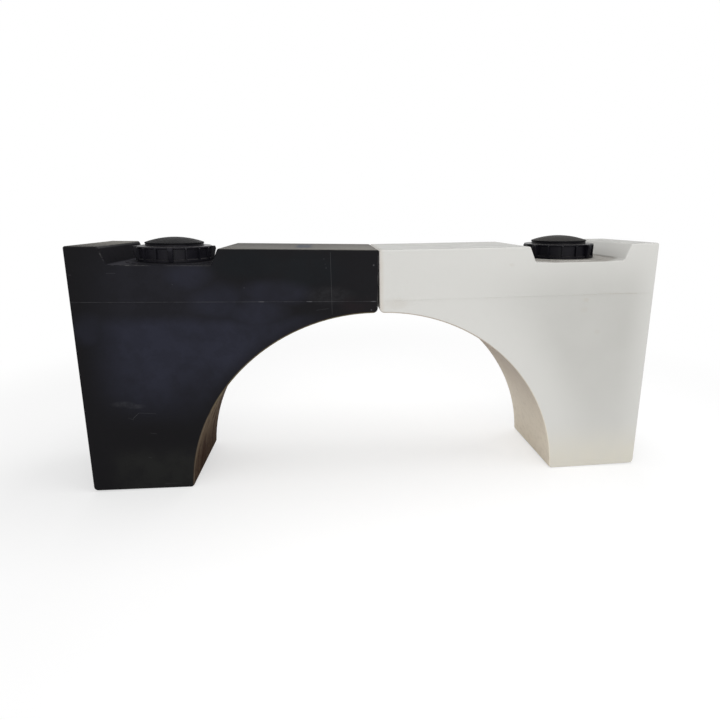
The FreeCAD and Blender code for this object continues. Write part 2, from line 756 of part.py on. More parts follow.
def make_plug(doc, s, colour):
    """The drain plug: a hollow threaded shank under a flat head with a grip bar."""
    body = new_body(doc, colour + "_drain_plug")
    section = new_sketch(body, "section", "XZ_Plane")
    hollow = s.plug_radius - s.plug_wall
    draw_outline(section, [
        (0, s.head_bottom),
        (hollow, s.head_bottom),
        (hollow, -s.plug_length),
        (s.plug_radius, -s.plug_length),
        (s.plug_radius, s.head_bottom),
        (s.plug_head_radius, s.head_bottom),
        (s.plug_head_radius, s.head_top),
        (0, s.head_top)])
    revolve(body, "turned", section)
    round_edges(body, "head_edge", s.plug_head_fillet, circle_at(s.head_top, s.plug_head_radius))
    grip = new_sketch(body, "grip_outline", "XY_Plane", out=s.head_top)
    draw_outline(grip, [(-s.grip_length / 2, -s.grip_width / 2),
                        (s.grip_length / 2, -s.grip_width / 2),
                        (s.grip_length / 2, s.grip_width / 2),
                        (-s.grip_length / 2, s.grip_width / 2)])
    pad(body, "grip", grip, s.grip_height)
    add_thread(body, "thread", 0.0, 0.0, s.plug_radius, s.drain_thread_radius,
               -s.drain_thread_start, 1, s.drain_thread_base, s.drain_thread_crest,
               s.drain_pitch, s.plug_thread_turns)
    return body


def make_washer(doc, s, colour):
    body = new_body(doc, colour + "_drain_washer")
    ring = new_sketch(body, "ring", "XY_Plane", out=s.bush_flange)
    draw_circle(ring, s.washer_radius)
    draw_circle(ring, s.plug_radius + s.washer_bore_gap)
    pad(body, "disc", ring, s.washer_thickness)
    return body


def stand(s, direction):
    """Where a half stands: tipped on the rounded inner edge of its foot, crown at the seam."""
    lean = math.radians(s.lean.number)
    sine, cosine = math.sin(lean), math.cos(lean)
    top_radius = s.top_corner_radius.number
    foot_radius = s.corner_radius.number
    outwards = ((s.tank_height.number - top_radius) * sine + top_radius * (1 - cosine)
                + s.seam_gap.number / 2)
    foot_edge = s.foot_inner.number + foot_radius
    upwards = foot_radius * (1 - cosine) - foot_edge * sine
    tip = Placement(Vector(outwards, 0, upwards), Rotation(Vector(0, -1, 0), s.lean.number))
    return Placement(Vector(0, 0, 0), Rotation(Vector(0, 0, 1), direction)) * tip


def check(doc, pieces):
    """Stop unless every feature worked, every cut cut something and every piece is sound."""
    for thing in doc.Objects:
        if {"Invalid", "Error"} & set(thing.State):
            raise RuntimeError("%s failed" % thing.Label)
        if thing.TypeId == "PartDesign::Pocket":
            if thing.Shape.Volume > thing.BaseFeature.Shape.Volume - 0.01:
                raise RuntimeError("%s cuts nothing" % thing.Label)
    for piece in pieces:
        if piece.Shape.isNull() or not piece.Shape.isValid():
            raise RuntimeError("%s has no sound shape" % piece.Label)


def make_half(doc, s, colour, direction):
    """Make the pieces of one half and set them where it stands."""
    place = stand(s, direction)
    lid_turn = getattr(s, colour + "_lid_turn")
    rise = s.lid_pitch * lid_turn / FULL_TURN
    rim = place * Placement(Vector(s.lid_x.number, 0, s.rim_height.number), Rotation())
    turned = Placement(Vector(0, 0, rise.number), Rotation(Vector(0, 0, 1), lid_turn.number))
    lid = rim * turned
    pocket_floor = Vector(s.half_length.number - s.drain_pocket_depth.number, 0,
                          s.drain_height.number)
    drain = place * Placement(pocket_floor, Rotation(Vector(0, 1, 0), 90))
    places = [
        (make_tank(doc, s, colour), place),
        (make_gasket(doc, s, colour, rise), rim),
        (make_lid(doc, s, colour), lid),
        (make_dome(doc, s, colour), lid),
        (make_screen(doc, s, colour), lid),
        (make_screws(doc, s, colour), lid),
        (make_bush(doc, s, colour), drain),
        (make_washer(doc, s, colour), drain),
        (make_plug(doc, s, colour), drain)]
    for piece, where in places:
        piece.Placement = where
    return [piece for piece, where in places]


def main():
    doc = FreeCAD.newDocument("water_filled_barrier")
    s = derive(make_sheet(doc))
    pieces = []
    for colour, direction in SIDES.items():
        pieces += make_half(doc, s, colour, direction)
    doc.recompute()
    check(doc, pieces)
    os.makedirs("parts", exist_ok=True)
    for piece in pieces:
        piece.Shape.exportStep("parts/%s.step" % piece.Label)
        print("%-22s %8.1f cm3  solids %d" % (piece.Label, piece.Shape.Volume / 1000,
                                               len(piece.Shape.Solids)))


main()
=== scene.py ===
"""Looks of the water filled barrier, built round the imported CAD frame.

Each half of the barrier has a frame of its own, read from the CAD part: X runs from the seam
outwards, Y across and Z up from the sole of the foot.  Lengths are in metres, and colours are
linear red, green and blue.
"""

import json
import math

import bpy
from mathutils import Matrix, Vector

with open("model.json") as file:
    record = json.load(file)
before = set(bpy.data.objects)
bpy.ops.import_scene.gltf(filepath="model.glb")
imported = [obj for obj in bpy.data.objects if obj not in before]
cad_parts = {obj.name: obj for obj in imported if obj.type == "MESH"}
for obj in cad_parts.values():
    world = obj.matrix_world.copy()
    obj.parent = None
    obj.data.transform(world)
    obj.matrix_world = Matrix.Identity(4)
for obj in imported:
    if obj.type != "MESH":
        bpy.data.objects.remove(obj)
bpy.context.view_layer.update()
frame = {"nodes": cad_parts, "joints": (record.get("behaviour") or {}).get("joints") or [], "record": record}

COLOURS = ("black", "white")

# sizes of the tanks that the finish follows
HALF_LENGTH = 0.702
HEIGHT = 0.600
ARCH_RADIUS = 0.460
ARCH_DROP = 0.012                       # the arch's centre lies this far below the floor
NOTCH_INNER = HALF_LENGTH - 0.332
NOTCH_OUTER = HALF_LENGTH - 0.073
NOTCH_FLOOR = HEIGHT - 0.038
LID_X = HALF_LENGTH - 0.203
PARTING_HEIGHT = 0.477
END_MOUNT_HEIGHT = HEIGHT / 2
SCRATCH_WIDTH = 0.0005

# colours of the black tank, of what lies on it, and of the reflection, highlights and shade painted on it
BLACK = {
    "bare": (0.0082, 0.0079, 0.0090),
    "haze": (0.0150, 0.0149, 0.0192),
    "cool": (0.0084, 0.0096, 0.0114),
    # bloom: a painted sky reflection, pale and bluish
    "bloom": (0.0230, 0.0242, 0.0370),
    "ruddy": (0.0160, 0.0112, 0.0125),
    "chalk": (0.0200, 0.0202, 0.0250),
    "foot": (0.0150, 0.0152, 0.0148),
    # scratch also colours the painted highlight along the parting line
    "scratch": (0.130, 0.130, 0.138),
    # painted shade in the notch
    "notch": (0.0074, 0.0070, 0.0088),
    "ledge": (0.0310, 0.0300, 0.0360),
    "dust": (0.176, 0.168, 0.151),
    "spill": (0.050, 0.056, 0.070),
    # painted highlights on the rounded edges
    "edge highlight": (0.150, 0.146, 0.142),
    "low mud": (0.042, 0.024, 0.016),
    "middle mud": (0.150, 0.108, 0.070),
    "high mud": (0.215, 0.184, 0.094),
    "mud patch": (0.120, 0.084, 0.052),
    "rust": (0.030, 0.013, 0.007),
    "mud edge": (0.120, 0.100, 0.072),
}

# colours of the white tank, of what lies on it, and of the light and shade painted on it
WHITE = {
    "bare": (0.668, 0.663, 0.635),
    # painted shade in the middle of the faces
    "middle_shade": (0.530, 0.526, 0.499),
    "low": (0.690, 0.660, 0.575),
    "grime": (0.42, 0.39, 0.34),
    "stain": (0.42, 0.34, 0.25),
    # painted shade on the edge at the seam
    "seam": (0.56, 0.47, 0.38),
    # painted shade on the upward faces, with dirt streaks
    "top shade and dirt": (0.28, 0.28, 0.268),
    # painted contact shadow and grime round the lid, and painted shade in the notch
    "shade_and_grime": (0.275, 0.262, 0.240),
    # painted light at the soffit's foot, paler than the bare plastic
    "lit soffit foot": (0.950, 0.860, 0.722),
    "high soffit": (0.390, 0.310, 0.238),
    "soffit dirt": (0.40, 0.32, 0.24),
    "soffit edge": (0.60, 0.55, 0.47),
}

# colours of the small pieces; the white half's lid is painted darker than the black half's, as shade against
# the light it gets beside the white tank, and the dust on the domes differs from half to half
LID_PLASTIC = {"black": (0.0095, 0.0090, 0.0122), "white": (0.0045, 0.0042, 0.0062)}
DOME_PLASTIC = (0.0070, 0.0070, 0.0084)
DOME_DUST = {"black": 0.06, "white": 0.24}
SCREEN_PLASTIC = (0.020, 0.020, 0.020)
DRAIN_PLASTIC = (0.016, 0.016, 0.018)
SETTLED_DUST = (0.16, 0.15, 0.13)
RUBBER = ((0.016, 0.016, 0.016), (0.034, 0.033, 0.031))
STEEL = ((0.48, 0.48, 0.47), (0.62, 0.62, 0.61))

# camera and surroundings
CAMERA_PLACE = (-0.1190, -1.1685, 0.6677)
CAMERA_TILT = 12.44                     # degrees below level
CAMERA_TURN = 5.34                      # degrees clockwise from straight ahead
SENSOR_WIDTH = 36.0
LENS = 22.35
CAMERA_SHIFT = (-0.01426, -0.06109)
WORLD_LIGHT = 0.42
FLOOR_REACH = 4.0
FLOOR_WHITE_FROM, FLOOR_WHITE_AT = 1.1, 1.9     # where the floor fades into the surroundings


class Half:
    """Where one half of the barrier stands, worked out from its joints and its end mount."""

    def __init__(self, colour):
        axes = {joint["name"]: Vector(joint["axis"]) for joint in frame["joints"]}
        mounts = {mount["name"]: Vector(mount["pos_m"]) for mount in frame["record"]["mounts"]}
        self.colour = colour
        up = axes[colour + "_lid_rise"]
        out = axes[colour + "_plug_out"]
        origin = mounts[colour + "_end"] - out * HALF_LENGTH - up * END_MOUNT_HEIGHT
        rows = Matrix((out, up.cross(out), up)).transposed().to_4x4()
        self.from_world = (Matrix.Translation(origin) @ rows).inverted()
        self.front = 1.0 if colour == "black" else -1.0     # side of Y that the camera sees


# ---------------------------------------------------------------- shader graphs

class Field:
    """A value that varies over a surface: an output socket of a shader graph."""

    def __init__(self, graph, socket):
        self.graph = graph
        self.socket = socket

    def __add__(self, other):
        return self.graph.math("ADD", self, other)

    def __sub__(self, other):
        return self.graph.math("SUBTRACT", self, other)

    def __rsub__(self, other):
        return self.graph.math("SUBTRACT", other, self)

    def __mul__(self, other):
        return self.graph.math("MULTIPLY", self, other)

    def __truediv__(self, other):
        return self.graph.math("DIVIDE", self, other)

    def abs(self):
        return self.graph.math("ABSOLUTE", self)

    def root(self):
        return self.graph.math("SQRT", self)

    def high(self, other):
        return self.graph.math("MAXIMUM", self, other)

    def low(self, other):
        return self.graph.math("MINIMUM", self, other)

    def ramp(self, start, end, low=0.0, high=1.0):
        """Run smoothly from low at start to high at end, and stay there."""
        return self.graph.node("ShaderNodeMapRange", interpolation_type="SMOOTHSTEP",
                               inputs={0: self, 1: start, 2: end, 3: low, 4: high})


class Graph:
    """A material's node tree, built up from fields."""

    def __init__(self, name):
        self.material = bpy.data.materials.new(name)
        self.material.use_nodes = True
        self.tree = self.material.node_tree
        self.tree.nodes.clear()

    def node(self, kind, inputs=None, output=0, **settings):
        """Add a node whose inputs are fields or plain values, and give one of its outputs."""
        node = self.tree.nodes.new(kind)
        for key, value in settings.items():
            setattr(node, key, value)
        for key, value in (inputs or {}).items():
            if isinstance(value, Field):
                self.tree.links.new(value.socket, node.inputs[key])
            else:
                node.inputs[key].default_value = value
        return Field(self, node.outputs[output])

    def math(self, operation, *values):
        return self.node("ShaderNodeMath", operation=operation, inputs=dict(enumerate(values)))

    def place(self, half):
        """Where a point lies in the half's own frame."""
        world = self.node("ShaderNodeTexCoord", output="Object")
        inverse = half.from_world
        return self.node("ShaderNodeMapping", vector_type="POINT", inputs={
            "Vector": world, "Location": inverse.translation, "Rotation": inverse.to_euler()})

    def direction(self, half):
        """The surface normal in the half's own frame."""
        normal = self.node("ShaderNodeNewGeometry", output="Normal")
        local = self.node("ShaderNodeVectorTransform", vector_type="NORMAL",
                          convert_from="WORLD", convert_to="OBJECT", inputs={"Vector": normal})
        return self.node("ShaderNodeMapping", vector_type="POINT", inputs={
            "Vector": local, "Rotation": half.from_world.to_euler()})

    def split(self, vector):
        """The x, y and z of a vector, as three fields."""
        node = self.tree.nodes.new("ShaderNodeSeparateXYZ")
        self.tree.links.new(vector.socket, node.inputs[0])
        return [Field(self, socket) for socket in node.outputs]

    def noise(self, place, scale, detail=2.0, roughness=0.5, stretch=(1.0, 1.0, 1.0), shift=0.0):
        """A cloudy pattern around 0.5; a shift of its own keeps it apart from the others."""
        spot = self.node("ShaderNodeMapping", inputs={
            "Vector": place, "Scale": stretch, "Location": (shift, shift * 1.7, shift * 0.6)})
        return self.node("ShaderNodeTexNoise", inputs={
            "Vector": spot, "Scale": scale, "Detail": detail, "Roughness": roughness})

    def blend(self, factor, low, high):
        """Mix two plain values."""
        return self.node("ShaderNodeMix", inputs={0: factor, 2: low, 3: high})

    def mix(self, factor, low, high):
        """Mix two colours, each a field or a tuple of three numbers."""
        node = self.tree.nodes.new("ShaderNodeMix")
        node.data_type = "RGBA"
        sockets = {"Factor_Float": factor, "A_Color": low, "B_Color": high}
        for key, value in sockets.items():
            socket = [item for item in node.inputs if item.identifier == key][0]
            if isinstance(value, Field):
                self.tree.links.new(value.socket, socket)
            else:
                socket.default_value = value if key == "Factor_Float" else (*value, 1.0)
        output = [item for item in node.outputs if item.identifier == "Result_Color"][0]
        return Field(self, output)

    def bump(self, height, distance, base=None):
        """Relief of a height field, on top of a base relief if there is one."""
        inputs = {"Height": height, "Distance": distance, "Strength": 1.0}
        if base:
            inputs["Normal"] = base
        return self.node("ShaderNodeBump", inputs=inputs)

    def principled(self, **inputs):
        """The surface shader, with the named inputs, joined to the output."""
        named = {key.replace("_", " "): value for key, value in inputs.items()}
        self.finish(self.node("ShaderNodeBsdfPrincipled", inputs=named))
        return self.material

    def finish(self, shader):
        output = self.tree.nodes.new("ShaderNodeOutputMaterial")
        self.tree.links.new(shader.socket, output.inputs["Surface"])


def streak(x, z, start, end, width):
    """How strongly a point x, z lies on the thin line from start to end, from 0 to 1."""
    along = Vector(end) - Vector(start)
    length = along.length
    along.normalize()
    across = (x - start[0]) * -along.y + (z - start[1]) * along.x
    travelled = (x - start[0]) * along.x + (z - start[1]) * along.y
    on_line = across.abs().ramp(width * 0.5, width, 1.0, 0.0)
    begun = travelled.ramp(-width, width * 2)
    not_over = travelled.ramp(length - width * 2, length + width, 1.0, 0.0)
    return on_line * begun * not_over


# ---------------------------------------------------------------- materials of the tanks

class TankSurface:
    """The places on a tank that are finished differently, as fields of its material."""

    def __init__(self, graph, half):
        self.graph = graph
        self.place = graph.place(half)
        x, y, z = graph.split(self.place)
        nx, ny, nz = graph.split(graph.direction(half))
        self.x, self.z = x, z
        self.forward = y * half.front                       # towards the side the camera sees
        sideways = ny.abs()
        off_sides = sideways.ramp(0.85, 0.96, 1.0, 0.0)     # away from the two flat sides

        # the arch's face, the front, the outer end and what faces up
        from_centre = (x * x + (z + ARCH_DROP) * (z + ARCH_DROP)).root()
        self.under_arch = from_centre.ramp(ARCH_RADIUS + 0.001, ARCH_RADIUS + 0.004, 1.0, 0.0)
        self.front = (ny * half.front).ramp(0.80, 0.95)
        self.ends = nx.ramp(0.80, 0.95)
        self.upwards = nz.ramp(0.55, 0.95)
        self.on_top = self.upwards * z.ramp(HEIGHT - 0.006, HEIGHT - 0.002)

        # the rounded edges of the sides, the notch, the seam and the parting line
        self.rim = sideways.ramp(0.20, 0.45) * off_sides
        between = x.ramp(NOTCH_INNER - 0.004, NOTCH_INNER) * x.ramp(
            NOTCH_OUTER, NOTCH_OUTER + 0.004, 1.0, 0.0)
        self.in_notch = between * z.ramp(HEIGHT - 0.004, HEIGHT - 0.001, 1.0, 0.0) * z.ramp(
            NOTCH_FLOOR - 0.005, NOTCH_FLOOR - 0.002) * off_sides
        self.at_seam = x.ramp(0.0015, 0.0045, 1.0, 0.0)
        self.parting = (z - PARTING_HEIGHT).abs().ramp(0.0004, 0.0010, 1.0, 0.0)

        # how far the point lies from the arch, the outer end and the top, in the side view
        self.from_arch = from_centre - ARCH_RADIUS
        self.from_end = HALF_LENGTH - x
        self.from_top = HEIGHT - z

    def spot(self, x, z, wide, high=None):
        """A soft round or oval patch centred on x, z of the side, from 1 to 0 at its rim."""
        across = (self.x - x) / wide
        up = (self.z - z) / (high or wide)
        return (across * across + up * up).root().ramp(0.3, 1.0, 1.0, 0.0)


def black_polyethylene(half):
    """Black plastic with a painted pale sky reflection, scratches, painted highlights on the parting line
    and the rounded edges, painted shade in the notch, dusty tops and mud under the arch.
    """
    graph = Graph("black_polyethylene")
    on = TankSurface(graph, half)
    clouds = graph.noise(on.place, 6.5, detail=3.0, roughness=0.55)
    blotches = graph.noise(on.place, 24.0, detail=5.0, roughness=0.65, shift=3.0)
    grain = graph.noise(on.place, 420.0, detail=2.0, shift=1.0)
    dust_grain = graph.noise(on.place, 90.0, detail=6.0, roughness=0.7, shift=5.0)
    worn = graph.noise(on.place, 38.0, detail=5.0, roughness=0.7, shift=7.0)

    marks = black_marks_and_highlights(on, worn) * on.front
    colour = black_face(on, clouds, blotches)
    # scratches, and the painted highlight along the parting line, in one light colour
    colour = graph.mix(marks, colour, BLACK["scratch"])
    colour = graph.mix(on.under_arch, colour, black_soffit(on, dust_grain))
    colour = black_notch(on, colour)
    colour = black_top(on, colour, dust_grain, worn)
    # painted highlights on the rounded edges, strongest on the notch's outer part and at the seam, broken up
    # by the wear pattern
    notch_edge = on.in_notch * on.x.ramp(0.50, 0.60, 0.04, 0.40)
    edges = on.rim * worn.ramp(0.42, 0.62) * (notch_edge + on.at_seam * 0.35 + 0.12)
    colour = graph.mix(edges.low(0.8), colour, BLACK["edge highlight"])

    roughness = clouds.ramp(0.30, 0.70, 0.50, 0.60) + marks * 0.10 + on.upwards * 0.15
    roughness = roughness + on.under_arch * 0.30 + on.in_notch * 0.40
    waves = graph.noise(on.place, 13.0, detail=2.0, shift=2.0)
    relief = graph.bump(waves, 0.0020)
    relief = graph.bump(blotches, 0.0005, base=relief)
    relief = graph.bump(grain, 0.00006, base=relief)
    relief = graph.bump(marks, -0.00010, base=relief)
    return graph.principled(Base_Color=colour, Roughness=roughness, Normal=relief,
                            Specular_IOR_Level=0.06)


def black_face(on, clouds, blotches):
    """The plastic of the sides and the outer end, before its marks."""
    graph = on.graph
    inland = on.from_arch.ramp(-0.020, 0.045) * on.from_end.ramp(0.0, 0.14)

    # a thin haze along the top, stronger towards the outer end
    haze = inland * on.x.ramp(0.34, 0.44, 0.12, 1.0) * on.z.ramp(0.40, 0.46)
    haze = haze * on.from_top.ramp(0.0, 0.06, 0.4) * blotches.ramp(0.40, 0.56, 0.75, 1.0)
    colour = graph.mix(haze, BLACK["bare"], BLACK["haze"])
    cool = on.spot(0.300, 0.566, 0.130, 0.050).high(on.spot(0.165, 0.550, 0.110, 0.060))
    colour = graph.mix(cool * blotches.ramp(0.30, 0.60, 0.5, 1.0), colour, BLACK["cool"])

    # a painted sky reflection, pale and bluish, across the middle of the leg, and patches of it higher up
    bloom = inland * on.z.ramp(0.15, 0.31) * on.z.ramp(0.415, 0.455, 1.0, 0.0)
    for at_x, at_z, wide, high, strength in ((0.285, 0.448, 0.095, 0.062, 1.0),
                                             (0.245, 0.497, 0.110, 0.042, 0.75),
                                             (0.437, 0.536, 0.072, 0.042, 0.62),
                                             (0.370, 0.475, 0.090, 0.062, 0.65),
                                             (0.665, 0.410, 0.055, 0.055, 0.45)):
        bloom = bloom.high(on.spot(at_x, at_z, wide, high) * strength)
    bloom = bloom * on.x.ramp(0.04, 0.20, 0.35, 1.0)
    bloom = bloom * clouds.ramp(0.36, 0.58, 0.62, 1.0) * blotches.ramp(0.40, 0.56, 0.84, 1.0)
    colour = graph.mix(bloom, colour, BLACK["bloom"])

    # a ruddy stain above the arch near the seam, a chalky outer end and a scuffed foot
    ruddy = on.spot(0.050, 0.468, 0.060, 0.030) * blotches.ramp(0.40, 0.60, 0.1, 0.5)
    colour = graph.mix(ruddy, colour, BLACK["ruddy"])
    chalky = on.ends * clouds.ramp(0.40, 0.60) * blotches.ramp(0.35, 0.60, 0.4, 1.0)
    colour = graph.mix(chalky * on.z.ramp(0.10, 0.30), colour, BLACK["chalk"])
    foot = on.z.ramp(0.07, 0.13, 1.0, 0.0) * on.from_end.ramp(0.02, 0.10).high(on.ends)
    foot = foot * blotches.ramp(0.30, 0.60, 0.45, 1.0)
    return graph.mix(foot, colour, BLACK["foot"])


def black_soffit(on, dust_grain):
    """The face under the black arch: dried mud above, rust coloured runs lower down."""
    graph = on.graph
    mud = graph.mix(on.z.ramp(0.03, 0.17), BLACK["low mud"], BLACK["middle mud"])
    mud = graph.mix(on.z.ramp(0.17, 0.30), mud, BLACK["high mud"])
    mud = graph.mix(dust_grain.ramp(0.35, 0.68, 0.0, 0.45), mud, BLACK["mud patch"])
    runs = graph.noise(on.place, 36.0, detail=5.0, roughness=0.6, stretch=(1.0, 1.0, 0.14),
                       shift=8.0)
    runs = runs.ramp(0.46, 0.62) * on.z.ramp(0.20, 0.32, 1.0, 0.3)
    mud = graph.mix(runs * 0.80, mud, BLACK["rust"])
    return graph.mix(on.rim * 0.55, mud, BLACK["mud edge"])


def black_notch(on, colour):
    """Painted shade darkening the black tank's notch, and a lighter ledge beyond the lid."""
    shaded = on.in_notch * on.rim.ramp(0.0, 0.5, 1.0, 0.0)
    colour = on.graph.mix(shaded, colour, BLACK["notch"])
    ledge = shaded * on.upwards * on.x.ramp(0.54, 0.59)
    return on.graph.mix(ledge, colour, BLACK["ledge"])


def black_top(on, colour, dust_grain, worn):
    """Dust on the crown and the outer end, thinner along one edge of each, and one spill."""
    graph = on.graph
    on_crown = on.forward.ramp(-0.06, 0.10, 0.72, 1.0) * on.x.ramp(0.02, 0.22, 1.0, 0.74)
    on_end = on.forward.ramp(-0.03, 0.11, 1.0, 0.40)
    dust = on.on_top * graph.blend(on.x.ramp(0.45, 0.55), on_crown, on_end)
    dust = dust * dust_grain.ramp(0.28, 0.60, 0.72, 1.0)
    colour = graph.mix(dust, colour, BLACK["dust"])
    spill = (on.forward / 0.10).abs().ramp(0.3, 1.0, 1.0, 0.0) * (on.x - 0.180).abs().ramp(
        0.010, 0.026, 1.0, 0.0)
    spill = spill * on.on_top * worn.ramp(0.25, 0.50, 0.5, 1.0)
    return graph.mix(spill, colour, BLACK["spill"])


def black_marks_and_highlights(on, worn):
    """The scratches, rubs and light specks on the front of the black tank, and a painted highlight along its
    parting line.
    """
    x, z = on.x, on.z
    patchy = on.graph.noise(on.place, 60.0, detail=5.0, roughness=0.75, shift=4.0)
    # where each scratch starts and ends, to the nearest millimetre, and how strong it is
    scratches = (
        ((0.114, 0.594), (0.110, 0.445), 0.32),         # long, down the crown
        ((0.616, 0.543), (0.595, 0.543), 0.22),         # under the notch's outer end
        ((0.697, 0.539), (0.690, 0.539), 0.30),         # nick at the outer end
        ((0.148, 0.456), (0.118, 0.460), 0.22),         # short, above the arch
        ((0.591, 0.191), (0.576, 0.205), 0.40),         # hook on the leg
        ((0.576, 0.205), (0.537, 0.202), 0.24),         # the hook's tail
        ((0.602, 0.193), (0.589, 0.187), 0.22),         # beside the hook
        ((0.555, 0.152), (0.539, 0.149), 0.28),         # low on the leg
        ((0.565, 0.088), (0.556, 0.085), 0.25),         # lower still
        ((0.531, 0.013), (0.490, 0.013), 0.22),         # along the foot
    )
    # a painted highlight along the parting line
    marks = on.parting * worn.ramp(0.35, 0.60, 0.10, 0.24)
    for begin, end, strength in scratches:
        marks = marks.high(streak(x, z, begin, end, SCRATCH_WIDTH) * strength)
    marks = marks * patchy.ramp(0.30, 0.50, 0.45, 1.0)
    for dash in (0.276, 0.164, 0.012):                  # where the painted highlight on the parting line is brighter
        parting_highlight = (x - dash).abs().ramp(0.004, 0.009, 1.0, 0.0) * on.parting
        marks = marks.high(parting_highlight * patchy.ramp(0.30, 0.50, 0.2, 0.9))
    specks = ((0.012, 0.564, 0.0028, 0.50), (0.016, 0.456, 0.0026, 0.50),
              (0.314, 0.510, 0.0016, 0.32), (0.129, 0.578, 0.0020, 0.16),
              (0.124, 0.557, 0.0024, 0.16), (0.126, 0.566, 0.0014, 0.16))
    for at_x, at_z, size, strength in specks:
        marks = marks.high(on.spot(at_x, at_z, size) * strength)
    rubs = on.spot(0.610, 0.228, 0.034, 0.010).high(on.spot(0.583, 0.222, 0.030, 0.008))
    rubs = (rubs * 0.13).high(on.spot(0.118, 0.492, 0.072, 0.028) * 0.08)
    scattered = on.graph.noise(on.place, 260.0, detail=1.0, shift=6.0).ramp(0.77, 0.81, 0.0, 0.3)
    return marks + rubs * patchy.ramp(0.36, 0.60, 0.3, 1.0) + scattered * worn.ramp(0.55, 0.70)


def white_polyethylene(half):
    """Off-white plastic with painted shade in the middle of its faces and at the seam, grey tops that are
    partly painted shade, and a warm soffit painted lighter at its foot.
    """
    graph = Graph("white_polyethylene")
    on = TankSurface(graph, half)
    clouds = graph.noise(on.place, 5.0, detail=3.0, roughness=0.5, shift=1.0)
    blotches = graph.noise(on.place, 16.0, detail=4.0, roughness=0.6, shift=6.0)
    grain = graph.noise(on.place, 380.0, detail=2.0, shift=2.0)
    dirt = graph.noise(on.place, 55.0, detail=7.0, roughness=0.72, shift=9.0)
    patchy = graph.noise(on.place, 30.0, detail=4.0, roughness=0.7, shift=4.0)

    colour = white_face(on, clouds, blotches, dirt, patchy)
    colour = white_top(on, colour)
    colour = white_notch(on, colour)
    colour = graph.mix(on.under_arch, colour, white_soffit(on, dirt))

    roughness = clouds.ramp(0.30, 0.70, 0.45, 0.55) + on.upwards * 0.15
    waves = graph.noise(on.place, 12.0, detail=2.0, shift=4.0)
    relief = graph.bump(waves, 0.0015)
    relief = graph.bump(grain, 0.00006, base=relief)
    return graph.principled(Base_Color=colour, Roughness=roughness, Normal=relief,
                            Specular_IOR_Level=0.2)


def white_face(on, clouds, blotches, dirt, patchy):
    """The plastic of the sides and the outer end: painted shade in its middle, its stains, and painted shade
    on its edge at the seam.
    """
    graph = on.graph
    # painted shade: the middle of each face darker, fading out towards the arch, the top and the outer end
    inland = on.from_arch.ramp(0.0, 0.15) * on.from_top.ramp(-0.02, 0.15)
    inland = inland * (on.from_end * 1.2 + 0.03).ramp(0.0, 0.12) * on.x.ramp(0.18, 0.52, 0.15, 1.0)
    middle_shade = inland * clouds.ramp(0.32, 0.64, 0.82, 1.0) * on.z.ramp(0.05, 0.35, 0.50, 1.0)
    colour = graph.mix(middle_shade, WHITE["bare"], WHITE["middle_shade"])
    low = on.z.ramp(0.015, 0.14, 0.85, 0.0) * blotches.ramp(0.25, 0.60, 0.75, 1.0)
    colour = graph.mix(low, colour, WHITE["low"])
    grime = dirt.ramp(0.60, 0.74, 0.0, 0.16) * blotches.ramp(0.40, 0.60)
    colour = graph.mix(grime, colour, WHITE["grime"])
    colour = graph.mix(white_marks(on, patchy) * on.front, colour, WHITE["stain"])
    # painted shade in the gap at the seam, warm brown
    seam_shade = on.x.ramp(0.004, 0.014, 1.0, 0.0) * patchy.ramp(0.3, 0.6, 0.5, 1.0)
    return graph.mix(seam_shade * 0.35, colour, WHITE["seam"])


def white_top(on, colour):
    """The grey, faintly streaked tops: painted shade on every upward face, with streaks of dirt."""
    streaks = on.graph.noise(on.place, 42.0, detail=6.0, roughness=0.7, stretch=(0.45, 1.0, 1.0),
                             shift=2.0)
    # painted shade greys every upward face; the streaks are dirt
    grey = on.upwards * streaks.ramp(0.30, 0.70, 0.56, 0.86)
    return on.graph.mix(grey * 0.85, colour, WHITE["top shade and dirt"])


def white_notch(on, colour):
    """Painted contact shadow and grime on the notch's floor round the lid, and painted shade fading up its
    slopes.
    """
    rings = ((on.x - LID_X) * (on.x - LID_X) + on.forward * on.forward).root()
    # painted contact shadow and grime on the floor round the lid
    ledge = on.z.ramp(NOTCH_FLOOR + 0.002, NOTCH_FLOOR + 0.008, 1.0, 0.0)
    shade_and_grime = ledge * rings.ramp(0.130, 0.155, 1.0, 0.0)
    shade_and_grime = on.in_notch * shade_and_grime.high(on.z.ramp(NOTCH_FLOOR, HEIGHT, 0.16, 0.0))
    return on.graph.mix(shade_and_grime, colour, WHITE["shade_and_grime"])


def white_soffit(on, dirt):
    """The face under the white arch: painted light makes it pale and warm at the foot, and it is darker and
    browner higher up.
    """
    graph = on.graph
    # painted light: the soffit's foot paler than the bare plastic
    soffit = graph.mix(on.z.ramp(0.05, 0.38), WHITE["lit soffit foot"], WHITE["high soffit"])
    soffit = graph.mix(dirt.ramp(0.45, 0.70, 0.0, 0.18), soffit, WHITE["soffit dirt"])
    return graph.mix(on.rim * 0.5, soffit, WHITE["soffit edge"])


def white_marks(on, patchy):
    """The faint stains and scuffs on the front of the white tank."""
    marks = on.parting * patchy.ramp(0.45, 0.65, 0.0, 0.16)
    marks = marks.high(streak(on.x, on.z, (0.552, 0.480), (0.657, 0.478), 0.0006) * 0.35)
    stains = ((0.522, 0.464, 0.012, 0.008, 0.16), (0.519, 0.439, 0.016, 0.010, 0.12),
              (0.325, 0.557, 0.010, 0.006, 0.12), (0.560, 0.380, 0.012, 0.008, 0.12),
              (0.042, 0.470, 0.046, 0.020, 0.13))
    for at_x, at_z, wide, high, strength in stains:
        marks = marks.high(on.spot(at_x, at_z, wide, high) * strength)
    return marks * patchy.ramp(0.30, 0.60, 0.4, 1.0)


# ---------------------------------------------------------------- materials of the small pieces

